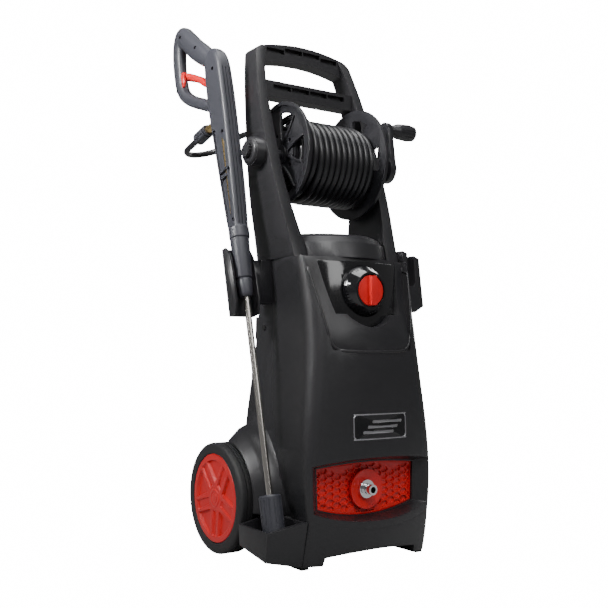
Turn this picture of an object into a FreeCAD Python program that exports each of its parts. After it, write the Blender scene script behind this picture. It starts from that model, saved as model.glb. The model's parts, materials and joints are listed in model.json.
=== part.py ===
import FreeCAD, Part
import math
import os

# Trolley pressure washer. Millimetres, +Z up, +Y to the back, +X to the right seen from
# the front. It is drawn about its centre plane with y = 0 at the front feet, then moved
# so that its origin lies under the middle of its box.

# Driving dimensions
WHEEL_RADIUS = 100.0
WHEEL_FACE_X = 193.5
TYRE_WIDTH = 40.0
RIM_RADIUS = 80.0
WHEEL_Y = 198.0
AXLE_RADIUS = 8.0
RUN_GAP = 0.05            # radial gap of a shaft that turns in a hole
WALL = 3.0
DECK_Z = 533.0            # top of the casing, where the handle stands
SEAM_Z = 83.0             # joint between base and covers
FOOT_HALF = 133.5

REEL_Y = 150.0
REEL_Z = 734.0
REEL_LEFT_X = -84.0
REEL_RIGHT_X = 92.0
LEFT_FLANGE_RADIUS = 100.0
RIGHT_FLANGE_RADIUS = 108.0
FLANGE_THICK = 6.0
DRUM_RADIUS = 46.5
REEL_SHAFT_RADIUS = 10.0
HOSE_RADIUS = 6.0
COIL_RADIUS = 80.0        # two layers of hose, the outer one loose
COIL_DROP = 9.0           # how far the loose layer hangs below the drum's centre
COIL_TIGHT_X = -50.0      # the coil is tight to the left of here, where the tail leaves it
CRANK_X = 165.0
CRANK_THICK = 14.0
CRANK_THROW = 84.0
KNOB_END_X = 246.0

LANCE_X = -168.0          # the gun and lance stand in this plane
LANCE_Y = 45.0
LANCE_Z = 120.0           # a point of the lance's axis
LANCE_SLOPE = 0.237       # how far the lance leans back for each mm of height
GUN_HALF = 15.0
LANCE_RADIUS = 5.7

SWITCH_Z = 473.0
SWITCH_Y = -3.0
INLET_Z = 126.0
NIPPLE_RADIUS = 9.0
MOTOR_Y = 95.0

# Casing: height, half width, front corner y before rounding, front centre y, rear y, corner radius
CASING = [(83, 131.6, -18, -40, 225, 9), (130, 135.5, -20, -42, 227, 13), (221, 134, -23, -40, 225, 26),
          (313, 125, -19, -37.5, 217, 32), (387, 119, -12, -32, 209, 34), (461, 118, 1, -18, 200, 30),
          (DECK_Z, 121, 20, -1, 190, 22)]
REAR_TAPER = 0.915        # width of the casing's back compared with its front
# Upright: height, inner x, outer x, front y, rear y
UPRIGHT = [(DECK_Z, 91, 118, 46, 176), (598, 98, 122, 68, 184), (658, 106, 126.5, 89, 191),
           (740, 107, 128, 119, 199), (842, 105, 125, 155, 212), (900, 99, 118, 176, 226),
           (957, 84, 109, 197, 238)]
# Side view of the seam between the front and rear covers: y, z
SEAM = [(35, 60), (35, 83), (70, 150), (102, 250), (124, 330), (127, 400), (127, 560)]

# Hose from the reel to the gun, point by point
TAIL = [(-62, 239.2, 736), (-62, 240.5, 760), (-64, 249, 782), (-70, 267, 798),
        (-77, 292, 804), (-82, 332, 798), (-86, 369, 786), (-109, 396, 778), (-144, 398, 771),
        (-168.5, 374, 771), (-168.9, 343, 778.6), (-168, 314.8, 785.8)]


def vec(x, y, z):
    return FreeCAD.Vector(x, y, z)


def box(low, high):
    size = [b - a for a, b in zip(low, high)]
    return Part.makeBox(size[0], size[1], size[2], vec(*low))


def rod(start, end, radius):
    line = vec(*end) - vec(*start)
    return Part.makeCylinder(radius, line.Length, vec(*start), line)


def taper(start, end, radius_start, radius_end):
    line = vec(*end) - vec(*start)
    return Part.makeCone(radius_start, radius_end, line.Length, vec(*start), line)


def tube(start, end, outer, inner):
    return rod(start, end, outer).cut(rod(start, end, inner))


def polygon_face(points):
    corners = [vec(*p) for p in points]
    return Part.Face(Part.makePolygon(corners + corners[:1]))


def prism(points, direction):
    return polygon_face(points).extrude(vec(*direction))


def fuse(shapes):
    result = shapes[0]
    for shape in shapes[1:]:
        result = result.fuse(shape)
    return result.removeSplitter()


def cut(shape, tools):
    for tool in tools:
        shape = shape.cut(tool)
    return shape


def mirror_x(shape):
    return shape.mirror(vec(0, 0, 0), vec(1, 0, 0))


def spun(shape, centre, axis, degrees):
    copy = shape.copy()
    copy.rotate(vec(*centre), vec(*axis), degrees)
    return copy


def joined_wire(edges):
    return Part.Wire([edge.toShape() for edge in edges])


def arch_edge(half_a, z_a, half_b, z_b, bow, y):
    """Bottom or top edge of an outline in the XZ plane, bowed by bow at its middle."""
    a = vec(half_a, y, z_a)
    b = vec(half_b, y, z_b)
    if not bow:
        return Part.LineSegment(a, b)
    middle = (a + b) * 0.5 + vec(0, 0, bow)
    return Part.Arc(a, middle, b)


def arched_wire(half_low, z_low, dip, half_high, z_high, rise, y):
    """Outline with straight sides and a bowed bottom and top, upright at depth y."""
    bottom = arch_edge(-half_low, z_low, half_low, z_low, -dip, y)
    right = Part.LineSegment(vec(half_low, y, z_low), vec(half_high, y, z_high))
    top = arch_edge(half_high, z_high, -half_high, z_high, rise, y)
    left = Part.LineSegment(vec(-half_high, y, z_high), vec(-half_low, y, z_low))
    return joined_wire([bottom, right, top, left])


def arched_prism(half_low, z_low, dip, half_high, z_high, rise, y_front, y_back):
    face = Part.Face(arched_wire(half_low, z_low, dip, half_high, z_high, rise, y_front))
    return face.extrude(vec(0, y_back - y_front, 0))


def casing_wire(z, half, corner_y, centre_y, rear_y, corner, inset=0.0):
    """One level of the casing: bowed front, straight sides, rounded corners."""
    half = half - inset
    corner_y = corner_y + inset
    centre_y = centre_y + inset
    rear_y = rear_y - inset
    corner = corner - inset
    rear_half = half * REAR_TAPER
    # The front is an arc. Each front corner is a smaller arc that touches it and the side.
    sag = corner_y - centre_y
    bow = (half ** 2 + sag ** 2) / (2 * sag)
    arc_y = centre_y + bow
    round_x = half - corner
    round_y = arc_y - math.sqrt((bow - corner) ** 2 - round_x ** 2)
    outward = vec(round_x, round_y - arc_y, 0).normalize()
    right_front = vec(0, arc_y, z) + outward * bow
    middle = (outward + vec(1, 0, 0)).normalize()
    right_bend = vec(round_x, round_y, z) + middle * corner
    right_edge = vec(half, round_y, z)
    left_front = vec(-right_front.x, right_front.y, z)
    left_bend = vec(-right_bend.x, right_bend.y, z)
    left_edge = vec(-half, round_y, z)
    r = 26.0
    bend = r * (1 - math.sqrt(0.5))
    right_side = vec(rear_half, rear_y - r, z)
    right_back = vec(rear_half - r, rear_y, z)
    left_back = vec(r - rear_half, rear_y, z)
    left_side = vec(-rear_half, rear_y - r, z)
    return joined_wire([
        Part.Arc(left_front, vec(0, centre_y, z), right_front),
        Part.Arc(right_front, right_bend, right_edge),
        Part.LineSegment(right_edge, right_side),
        Part.Arc(right_side, vec(rear_half - bend, rear_y - bend, z), right_back),
        Part.LineSegment(right_back, left_back),
        Part.Arc(left_back, vec(bend - rear_half, rear_y - bend, z), left_side),
        Part.LineSegment(left_side, left_edge),
        Part.Arc(left_edge, left_bend, left_front)])


def casing_solid(inset=0.0, top=DECK_Z):
    wires = []
    for z, half, corner_y, centre_y, rear_y, corner in CASING:
        wires.append(casing_wire(min(z, top), half, corner_y, centre_y, rear_y, corner, inset))
    return Part.makeLoft(wires, True, False)


def seam_block():
    """Everything in front of the seam between the covers."""
    reach = 200
    points = [(-reach, -reach, SEAM[0][1])]
    points += [(-reach, y, z) for y, z in SEAM]
    points.append((-reach, -reach, SEAM[-1][1]))
    return prism(points, (2 * reach, 0, 0))


def front_slab(levels, front, back):
    """Curved slab that follows the front. levels: height and centre y of the surface."""
    half = 122.0
    sag = 30.0
    wires = []
    for z, y in levels:
        wires.append(joined_wire([
            Part.Arc(vec(-half, y + sag + front, z), vec(0, y + front, z), vec(half, y + sag + front, z)),
            Part.LineSegment(vec(half, y + sag + front, z), vec(half, y + sag + back, z)),
            Part.Arc(vec(half, y + sag + back, z), vec(0, y + back, z), vec(-half, y + sag + back, z)),
            Part.LineSegment(vec(-half, y + sag + back, z), vec(-half, y + sag + front, z))]))
    return Part.makeLoft(wires, True, False)


# Height and centre y of two sunk surfaces: the shallow frame and the panel's deeper well
RECESS_LEVELS = [(366, -34.0), (407, -29.5), (431, -20.5), (525, 6.0), (DECK_Z + 2, 8.5)]
PANEL_LEVELS = [(400, -5.0), (470, 1.0), (DECK_Z + 2, 10.5)]
PANEL_THICK = 2.5
PANEL_TOP = 526.0


def recess_outline(grow=0.0):
    return arched_prism(86 + grow, 368 - grow, 0, 116 + grow, DECK_Z + 3, 0, -80, 90)


def panel_outline(grow=0.0):
    """Outline of the glossy panel: a trapezium with a round chin under the switch."""
    plate = arched_prism(70 + grow, 431 - grow, 0, 89.5 + grow, DECK_Z + 3, 0, -80, 90)
    chin = rod((0, -80, SWITCH_Z), (0, 90, SWITCH_Z), 65.0 + grow)
    return plate.fuse(chin.common(box((-75, -80, 400), (75, 90, 460))))


def grille_opening(grow, y_front, y_back):
    return arched_prism(104 + grow, 99 - grow, 17, 106 + grow, 167 + grow, 6, y_front, y_back)


def grille_funnel(grow):
    """Sloping surround of the inlet panel, widest in front."""
    wires = []
    for y, wide, high in ((-64, 62, 17), (-4, 2, 2)):
        wide, high = wide + grow, high + grow
        wires.append(arched_wire(104 + wide, 99 - high * 0.5, 17, 106 + wide, 167 + high, 6, y))
    return Part.makeLoft(wires, True, True)


def base_solid():
    levels = [(6, 133.4, -2, -26, 219, 9), (40, 133.0, -10, -36, 222, 9), (SEAM_Z, 131.6, -18, -40, 225, 9)]
    return Part.makeLoft([casing_wire(*level) for level in levels], True, False)


def base_shell():
    levels = [(34, 133.0, -8, -34, 221, 9), (SEAM_Z + 1, 131.6, -18, -40, 225, 9)]
    inner = Part.makeLoft([casing_wire(*level, inset=3.5) for level in levels], True, False)
    return base_solid().cut(inner)


def front_drop():
    """Strip under the front cover's straight bottom, where its edge sags in the middle."""
    sag = Part.Arc(vec(-133, -100, SEAM_Z), vec(0, -100, SEAM_Z - 19), vec(133, -100, SEAM_Z))
    top = Part.LineSegment(vec(133, -100, SEAM_Z), vec(-133, -100, SEAM_Z))
    return Part.Face(joined_wire([sag, top])).extrude(vec(0, 135, 0))


def front_cover():
    outer = casing_solid()
    recess = front_slab(RECESS_LEVELS, -60, 0).common(recess_outline())
    well = front_slab(PANEL_LEVELS, -70, 0).common(panel_outline())
    behind = front_slab(RECESS_LEVELS, -60, WALL).common(recess_outline(WALL))
    well_back = front_slab(PANEL_LEVELS, -70, WALL).common(panel_outline(WALL))
    inner = casing_solid(WALL, DECK_Z).common(box((-200, -100, 0), (200, 300, DECK_Z - WALL)))
    inner = inner.cut(behind).cut(well_back)
    whole = outer.fuse(base_solid())
    funnel = grille_funnel(WALL).common(whole)
    box_walls = grille_opening(WALL, -10, 8)
    shell = cut(outer.common(seam_block()), [recess, well, inner])
    shell = shell.fuse(base_shell().common(front_drop())).fuse(funnel).fuse(box_walls)
    switch_hole = rod((0, -60, SWITCH_Z), (0, 40, SWITCH_Z), 16.0)
    below = box((-200, -200, 0), (200, 400, SEAM_Z)).cut(front_drop())
    return cut(shell, [grille_funnel(0), grille_opening(0, -10, 20), switch_hole, below])


# Section of the mudguard: distance from the centre plane, radius about the wheel's axle
FENDER = [(108, 122.5), (108, 172), (119, 166), (122, 154), (128, 143), (138, 133), (152, 126.5),
          (172, 105.5), (172, 103), (168.5, 103), (150, 122.5)]


def fender(side):
    """Mudguard in front of and over the inner half of a wheel, flaring out of the side."""
    points = [(side * x, WHEEL_Y, WHEEL_RADIUS + radius) for x, radius in FENDER]
    face = polygon_face(points)
    turned = spun(face, (0, WHEEL_Y, WHEEL_RADIUS), (1, 0, 0), 8)
    return turned.revolve(vec(0, WHEEL_Y, WHEEL_RADIUS), vec(1, 0, 0), 90)


def rear_cover():
    outer = casing_solid()
    inner = casing_solid(WALL, DECK_Z).common(box((-200, -100, 0), (200, 300, DECK_Z - WALL)))
    shell = outer.cut(seam_block()).cut(inner)
    for k in range(3):
        z = 277 + 19 * k
        fin = box((-92, 205, z), (92, 238 - k, z + 10))
        shell = shell.fuse(fin.cut(inner))
    back_grip = prism([(-88, 190, 392), (-88, 224, 384), (-88, 229, 392), (-88, 227, 432), (-88, 190, 432)],
                      (176, 0, 0))
    shell = shell.fuse(back_grip.cut(inner))
    for side in (-1, 1):
        shell = shell.fuse(fender(side).cut(casing_solid(WALL)).cut(seam_block()))
    for k in range(9):
        slot = box((-72 + 16 * k, 170, 446), (-62 + 16 * k, 240, 500))
        shell = shell.cut(slot)
    below = box((-200, -200, 0), (200, 400, SEAM_Z))
    gland_hole = rod((60, 190, 130), (60, 240, 130), 8.0)
    axle_notch = box((-140, WHEEL_Y - 16.5, 60), (140, WHEEL_Y + 16.5, WHEEL_RADIUS))
    axle_arch = rod((-140, WHEEL_Y, WHEEL_RADIUS), (140, WHEEL_Y, WHEEL_RADIUS), 16.5)
    return cut(shell, [below, gland_hole, axle_notch, axle_arch])


def base_tray():
    arch = arched_prism(101, -5, 0, 97, 20, 7, -60, 70)
    rear_lift = prism([(-150, 70, -5), (-150, 240, -5), (-150, 240, 28), (-150, 70, 14)], (300, 0, 0))
    axle_bar = rod((-131, WHEEL_Y, WHEEL_RADIUS), (131, WHEEL_Y, WHEEL_RADIUS), 16.0)
    posts = [box((-126, WHEEL_Y - 12, 30), (-92, WHEEL_Y + 12, 100)),
             box((92, WHEEL_Y - 12, 30), (126, WHEEL_Y + 12, 100))]
    body = cut(base_shell(), [arch, rear_lift, front_drop()])
    body = body.fuse(axle_bar.cut(box((-90, 0, 0), (90, 300, 200))))
    for post in posts:
        body = body.fuse(post)
    bore = rod((-160, WHEEL_Y, WHEEL_RADIUS), (160, WHEEL_Y, WHEEL_RADIUS), AXLE_RADIUS)
    return body.cut(bore)


def block(front, back):
    """Solid with four corners in front and four behind, in the same order."""
    quads = [front, back]
    for k in range(4):
        n = (k + 1) % 4
        quads.append([front[k], front[n], back[n], back[k]])
    faces = []
    for a, b, c, d in quads:
        faces += [polygon_face([a, b, c]), polygon_face([a, c, d])]
    solid = Part.Solid(Part.Shell(faces))
    if solid.Volume < 0:
        solid.reverse()
    return solid


def lance_pocket():
    """Open-topped cup on the left of the base that holds the foot of the lance."""
    front = [(-133.6, -1, 6), (-200, 7, 20), (-200, 0, 68), (-133.6, -19, 83)]
    back = [(-133.6, 94, 16), (-200, 92, 35), (-200, 95, 70), (-133.6, 96, 83)]
    front_in = [(-137.5, 2, 50), (-196, 9, 50), (-196, 1, 110), (-137.5, -14, 110)]
    back_in = [(-137.5, 90, 50), (-196, 88, 50), (-196, 90, 110), (-137.5, 91, 110)]
    return block(front, back).cut(block(front_in, back_in))


def top_cover():
    """Domed cover between the uprights, with a thinner cap on top."""
    levels = [(DECK_Z, 96, 60, 5, 184, 20), (562, 95, 64, 14, 180, 20)]
    dome = Part.makeLoft([casing_wire(*level) for level in levels], True, True)
    cap_levels = [(562, 91, 68, 18, 176, 18), (572, 89, 71, 23, 172, 16), (578, 82, 78, 38, 160, 12)]
    cap = Part.makeLoft([casing_wire(*level) for level in cap_levels], True, True)
    hollow = box((-84, 80, DECK_Z - 1), (84, 158, 557))
    uprights = upright_solid().fuse(mirror_x(upright_solid()))
    return dome.fuse(cap).cut(hollow).cut(uprights)


def control_panel():
    slab = front_slab(PANEL_LEVELS, -PANEL_THICK, 0).common(box((-100, -100, 380), (100, 100, PANEL_TOP)))
    return slab.common(panel_outline()).cut(rod((0, -60, SWITCH_Z), (0, 40, SWITCH_Z), 45.5))


def switch_bezel():
    """Glossy ring around the power switch: a blunt cone with a well in its front."""
    cone = taper((0, SWITCH_Y, SWITCH_Z), (0, -21, SWITCH_Z), 45.5, 33.0)
    base = rod((0, 12, SWITCH_Z), (0, SWITCH_Y, SWITCH_Z), 45.5)
    well = rod((0, -30, SWITCH_Z), (0, -10, SWITCH_Z), 29.0)
    bore = rod((0, -40, SWITCH_Z), (0, 20, SWITCH_Z), 6.0 + RUN_GAP)
    behind = front_slab(PANEL_LEVELS, 0, 60)
    return cut(cone.fuse(base), [well, bore, behind])


def power_knob():
    disc = rod((0, -10.5, SWITCH_Z), (0, -20, SWITCH_Z), 27.0)
    grip = arched_prism(6, SWITCH_Z - 25, 1, 6, SWITCH_Z + 25, 1, -30, -20)
    stem = rod((0, -10.5, SWITCH_Z), (0, 12, SWITCH_Z), 6.0)
    return fuse([disc, grip, stem])


def rotary_switch():
    return box((-22, 12.3, SWITCH_Z - 24), (22, 46, SWITCH_Z + 24))


def inlet_grille():
    """Red plate with rows of sunk six-sided cells around the water inlet."""
    plate = grille_opening(-0.2, 1, 6)
    pitch, cell_radius = 10.6, 4.9
    cells = []
    for row in range(-5, 6):
        for column in range(-12, 13):
            x = column * pitch * 0.866
            z = INLET_Z + row * pitch + (column % 2) * pitch / 2
            if math.hypot(x, z - INLET_Z) < 30:
                continue
            points = []
            for k in range(6):
                turn = math.radians(60 * k)
                points.append((x + cell_radius * math.cos(turn), 0, z + cell_radius * math.sin(turn)))
            cells.append(prism(points, (0, 4, 0)))
    cells = Part.makeCompound(cells).common(grille_opening(-3.4, 0, 6))
    cells = cells.cut(rod((0, -1, INLET_Z), (0, 7, INLET_Z), 35.5))
    return plate.cut(cells).cut(rod((0, -10, INLET_Z), (0, 20, INLET_Z), 20.0))


def inlet_dish():
    rim = rod((0, 1, INLET_Z), (0, -6, INLET_Z), 34.5)
    bowl = taper((0, -6, INLET_Z), (0, -1, INLET_Z), 32.0, 16.0)
    neck = rod((0, 1, INLET_Z), (0, 12, INLET_Z), 19.9)
    return rim.fuse(neck).cut(bowl).cut(rod((0, -10, INLET_Z), (0, 20, INLET_Z), 9.5))


def inlet_coupling():
    """Chrome quick coupling that takes the supply hose."""
    flange = rod((0, -1, INLET_Z), (0, -7, INLET_Z), 16.0)
    body = rod((0, 24, INLET_Z), (0, -11, INLET_Z), 9.5)
    neck = rod((0, -11, INLET_Z), (0, -14, INLET_Z), 7.0)
    nose = rod((0, -14, INLET_Z), (0, -24, INLET_Z), NIPPLE_RADIUS)
    bore = rod((0, -30, INLET_Z), (0, 24, INLET_Z), 5.5)
    return fuse([flange, body, neck, nose]).cut(bore)


def upright_solid():
    """Right upright: a blade that bows outwards and leans back."""
    wires = []
    for z, inner, outer, front, rear in UPRIGHT:
        points = [vec(inner, front, z), vec(outer, front, z), vec(outer - 2, rear, z), vec(inner + 3, rear, z)]
        wires.append(Part.makePolygon(points + points[:1]))
    return Part.makeLoft(wires, True, False)


def rounded_top(upright):
    """Rounds the outer top corner of the right upright."""
    corner = box((85.5, 150, 931), (140, 280, 990)).cut(rod((85.5, 140, 931), (85.5, 290, 931), 27.5))
    return upright.cut(corner)


def right_upright():
    boss = rod((118, REEL_Y, REEL_Z), (160, REEL_Y, REEL_Z), 22.0)
    bore = rod((80, REEL_Y, REEL_Z), (180, REEL_Y, REEL_Z), REEL_SHAFT_RADIUS + RUN_GAP)
    return rounded_top(upright_solid()).fuse(boss).cut(bore)


def left_upright():
    boss = rod((-118, REEL_Y, REEL_Z), (-147, REEL_Y, REEL_Z), 27.0)
    bore = rod((-80, REEL_Y, REEL_Z), (-180, REEL_Y, REEL_Z), REEL_SHAFT_RADIUS + RUN_GAP)
    return mirror_x(rounded_top(upright_solid())).fuse(boss).cut(bore)


def handle_bar(half, z_low, z_high, rise, front, back, ribs):
    """Bar between the uprights with a channel sunk in its front, crossed by ribs."""
    bar = arched_prism(half, z_low, -rise, half, z_high, rise, front, back)
    reach = 84.0
    step = 2 * reach / (ribs + 1)
    middle = (z_low + z_high) / 2 + rise
    for k in range(ribs + 1):
        x = -reach + k * step
        drop = rise * ((x + step / 2) / reach) ** 2 * 0.7
        bar = bar.cut(box((x + 1, front - 1, middle - drop), (x + step - 1, front + 9, middle - drop + 9)))
    uprights = upright_solid().fuse(mirror_x(upright_solid()))
    return bar.cut(uprights)


def swivel_nut():
    ribs = [rod((-147, REEL_Y, REEL_Z), (-159, REEL_Y, REEL_Z), 12.0)]
    for k in range(12):
        turn = math.radians(30 * k)
        y, z = REEL_Y + 12 * math.cos(turn), REEL_Z + 12 * math.sin(turn)
        ribs.append(rod((-147, y, z), (-157, y, z), 1.6))
    nut = fuse(ribs)
    return nut.cut(rod((-140, REEL_Y, REEL_Z), (-150, REEL_Y, REEL_Z), REEL_SHAFT_RADIUS + RUN_GAP))


def lance_point(x, s, t):
    """A point given along the lance (s) and square to it, towards the back (t)."""
    scale = math.hypot(1, LANCE_SLOPE)
    along = (LANCE_SLOPE / scale, 1 / scale)
    back = (1 / scale, -LANCE_SLOPE / scale)
    return (x, LANCE_Y + s * along[0] + t * back[0], LANCE_Z + s * along[1] + t * back[1])


def lance_prism(outline, x_low, x_high):
    """Plate in the lance's plane. outline: pairs of s and t."""
    points = [lance_point(x_low, s, t) for s, t in outline]
    return prism(points, (x_high - x_low, 0, 0))


def lance_rod(s_low, s_high, radius, radius_high=None):
    start, end = lance_point(LANCE_X, s_low, 0), lance_point(LANCE_X, s_high, 0)
    if radius_high is None:
        return rod(start, end, radius)
    return taper(start, end, radius, radius_high)


def lance_clip():
    """Channel on the left side, open to the front, that holds the lance's sleeve."""
    outline = [(322, -36), (444, -36), (450, -22), (448, 24), (322, 24)]
    outer = lance_prism(outline, -193.5, -143.5)
    inner = lance_prism([(300, -60), (470, -60), (470, 20.5), (300, 20.5)], -190, -147)
    arm_points = [(-144.5, 130, 452), (-144.5, 162, 452), (-144.5, 168, 532), (-144.5, 130, 532)]
    arm = prism(arm_points, (36, 0, 0))
    return outer.cut(inner).fuse(arm.cut(inner)).cut(casing_solid())


def cable_hook():
    """Fork on the right side that the stored lead or hose hangs in."""
    points = [(112, 36, 446), (150, 36, 440), (171, 36, 452), (160, 36, 543), (147, 36, 548),
              (151, 36, 498), (147, 36, 489), (138, 36, 489), (133, 36, 498), (131, 36, 552),
              (120, 36, 556), (120, 36, 530), (108, 36, 530)]
    return prism(points, (0, 26, 0)).cut(casing_solid())


def cable_gland():
    """Threaded gland low on the back, where a mains lead would come out."""
    body = rod((60, 210, 130), (60, 240, 130), 8.0)
    collar = rod((60, 227.2, 130), (60, 234, 130), 13.0)
    return body.fuse(collar).cut(rod((60, 200, 130), (60, 250, 130), 4.2))


def wheel_axle():
    reach = WHEEL_FACE_X - 12
    return rod((-reach, WHEEL_Y, WHEEL_RADIUS), (reach, WHEEL_Y, WHEEL_RADIUS), AXLE_RADIUS)


def wheel_ring(side, face, depth, outer, inner):
    """Ring on a wheel. face and depth count inwards from the wheel's outer face."""
    start = (side * (WHEEL_FACE_X - face), WHEEL_Y, WHEEL_RADIUS)
    end = (side * (WHEEL_FACE_X - face - depth), WHEEL_Y, WHEEL_RADIUS)
    if not inner:
        return rod(start, end, outer)
    return tube(start, end, outer, inner)


def tyre(side):
    ring = wheel_ring(side, 0, TYRE_WIDTH, WHEEL_RADIUS, RIM_RADIUS)
    bevel = wheel_ring(side, 0, 3, WHEEL_RADIUS + 2, 97.5)
    ring = ring.cut(bevel)
    for k in range(4):
        ring = ring.cut(wheel_ring(side, 9 + 6 * k, 2, WHEEL_RADIUS + 2, 98.4))
    return ring


def wheel_rim(side):
    ring = wheel_ring(side, 4, TYRE_WIDTH - 6, RIM_RADIUS, 74.0)
    web = wheel_ring(side, 18, 4, 74.0, 0)
    hub = wheel_ring(side, 6, TYRE_WIDTH - 4, 17.0, 0)
    hole = wheel_ring(side, 0, 60, AXLE_RADIUS + RUN_GAP, 0)
    holes = []
    for k in range(6):
        turn = math.radians(60 * k)
        y, z = WHEEL_Y + 46 * math.cos(turn), WHEEL_RADIUS + 46 * math.sin(turn)
        holes.append(rod((side * 150, y, z), (side * 190, y, z), 13.0))
    return cut(ring.fuse(web).fuse(hub), [hole] + holes)


def wheel_cover(side):
    """Red cover disc with five sunk windows between broad spokes."""
    disc = wheel_ring(side, -0.0, 4, RIM_RADIUS - 0.3, 0)
    windows = []
    for k in range(5):
        band = wheel_ring(side, -1, 3.5, 66.0, 33.0)
        x = side * (WHEEL_FACE_X + 5)
        wedge = [(x, WHEEL_Y, WHEEL_RADIUS)]
        for degrees in (90 + 72 * k - 17, 90 + 72 * k + 17):
            turn = math.radians(degrees)
            wedge.append((x, WHEEL_Y + 100 * math.cos(turn), WHEEL_RADIUS + 100 * math.sin(turn)))
        windows.append(band.common(prism(wedge, (-20 * side, 0, 0))))
    return cut(disc, windows)


def axle_clips():
    """Washers that keep the wheels off the base."""
    clips = []
    for side in (-1, 1):
        start = (side * 134.0, WHEEL_Y, WHEEL_RADIUS)
        end = (side * 136.0, WHEEL_Y, WHEEL_RADIUS)
        clips.append(tube(start, end, 15.0, AXLE_RADIUS))
    return Part.makeCompound(clips)


def front_feet():
    feet = []
    for side in (-1, 1):
        x_low, x_high = sorted((side * 118.0, side * 132.5))
        feet.append(box((x_low, 2, 0), (x_high, 34, 6)))
    return Part.makeCompound(feet)


def motor_housing():
    """Upright motor can with cooling fins, open at the top for its fan."""
    can = tube((0, MOTOR_Y, 232), (0, MOTOR_Y, 400), 66.0, 60.0)
    floor = tube((0, MOTOR_Y, 228), (0, MOTOR_Y, 232), 66.0, 14.0)
    fins = []
    for k in range(18):
        fin = box((64, MOTOR_Y - 1, 240), (71, MOTOR_Y + 1, 392))
        fins.append(spun(fin, (0, MOTOR_Y, 0), (0, 0, 1), 20 * k))
    windings = tube((0, MOTOR_Y, 260), (0, MOTOR_Y, 370), 60.0, 36.0)
    return fuse([can, floor, windings] + fins)


def motor_shaft():
    core = rod((0, MOTOR_Y, 262), (0, MOTOR_Y, 368), 35.4)
    shaft = rod((0, MOTOR_Y, 205), (0, MOTOR_Y, 420), 7.0)
    return core.fuse(shaft)


def cooling_fan():
    hub = tube((0, MOTOR_Y, 402), (0, MOTOR_Y, 418), 14.0, 7.0)
    plate = tube((0, MOTOR_Y, 402), (0, MOTOR_Y, 404), 58.0, 7.0)
    blades = []
    for k in range(9):
        blade = box((12, MOTOR_Y - 1, 403), (58, MOTOR_Y + 1, 418))
        blades.append(spun(blade, (0, MOTOR_Y, 0), (0, 0, 1), 40 * k))
    return fuse([hub, plate] + blades)


def wobble_plate():
    """Slanted disc on the motor shaft that drives the pump's three pistons."""
    disc = rod((0, MOTOR_Y, 205), (0, MOTOR_Y, 221), 30.0)
    slope = prism([(-40, MOTOR_Y - 40, 200), (40, MOTOR_Y - 40, 200), (40, MOTOR_Y - 40, 213),
                   (-40, MOTOR_Y - 40, 207)], (0, 80, 0))
    return disc.cut(slope).cut(rod((0, MOTOR_Y, 190), (0, MOTOR_Y, 230), 7.0))


PISTON_RING = 19.0


def piston_places():
    places = []
    for k in range(3):
        turn = math.radians(90 + 120 * k)
        places.append((PISTON_RING * math.cos(turn), MOTOR_Y + PISTON_RING * math.sin(turn)))
    return places


def pump_block():
    """Pump head and gearcase, with three cylinders and its ports at the front and back."""
    head = box((-45, MOTOR_Y - 45, 92), (45, MOTOR_Y + 45, 170))
    case = tube((0, MOTOR_Y, 170), (0, MOTOR_Y, 228), 52.0, 44.0)
    flange = tube((0, MOTOR_Y, 222), (0, MOTOR_Y, 228), 66.0, 44.0)
    block = fuse([head, case, flange])
    tools = [rod((0, MOTOR_Y - 50, INLET_Z), (0, MOTOR_Y - 20, INLET_Z), 7.0)]
    tools.append(rod((0, MOTOR_Y + 20, INLET_Z), (0, MOTOR_Y + 50, INLET_Z), 5.0))
    for x, y in piston_places():
        tools.append(rod((x, y, 120), (x, y, 175), 8.0))
    return cut(block, tools)


def pistons():
    return Part.makeCompound([rod((x, y, 140), (x, y, 196), 8.0) for x, y in piston_places()])


def rubber_mounts():
    mounts = []
    for x in (-34, 34):
        for y in (MOTOR_Y - 34, MOTOR_Y + 34):
            mounts.append(rod((x, y, 34), (x, y, 92), 11.0))
    return Part.makeCompound(mounts)


def capacitor():
    return rod((-80, 148, 290), (-80, 148, 370), 20.0)


def pressure_switch():
    return box((-30, MOTOR_Y + 62, 110), (30, MOTOR_Y + 92, 190))


def pump_pipes():
    """Inlet pipe from the coupling and outlet pipe up to the reel's swivel."""
    inlet = tube((0, 24, INLET_Z), (0, MOTOR_Y - 45, INLET_Z), 9.5, 5.5)
    outlet = tube((0, MOTOR_Y + 45, INLET_Z), (0, MOTOR_Y + 62, INLET_Z), 8.0, 5.0)
    return Part.makeCompound([inlet, outlet])


def casing_screws():
    """Low screw heads along the sides of the rear cover."""
    body = casing_solid()
    screws = []
    for side in (-1, 1):
        for z, y, half in ((290, 165, 119.4), (410, 160, 111.5)):
            screws.append(rod((side * (half - 12), y, z), (side * half, y, z), 5.0).cut(body))
    return Part.makeCompound(screws)


# Half of a flange's window and of the wall around it: radius, half width
WINDOW_INNER = [(28, 2.5), (52, 15), (200, 60)]
WINDOW_OUTER = [(22, 5), (50, 19), (200, 65)]


def flange_sector(half_outline, degrees, low_x):
    """Wedge across the flange, centred on one direction."""
    turn = math.radians(degrees)
    points = []
    for radius, half in half_outline + [(r, -h) for r, h in reversed(half_outline)]:
        y = REEL_Y + radius * math.cos(turn) - half * math.sin(turn)
        z = REEL_Z + radius * math.sin(turn) + half * math.cos(turn)
        points.append((low_x, y, z))
    return prism(points, (30, 0, 0))


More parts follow.
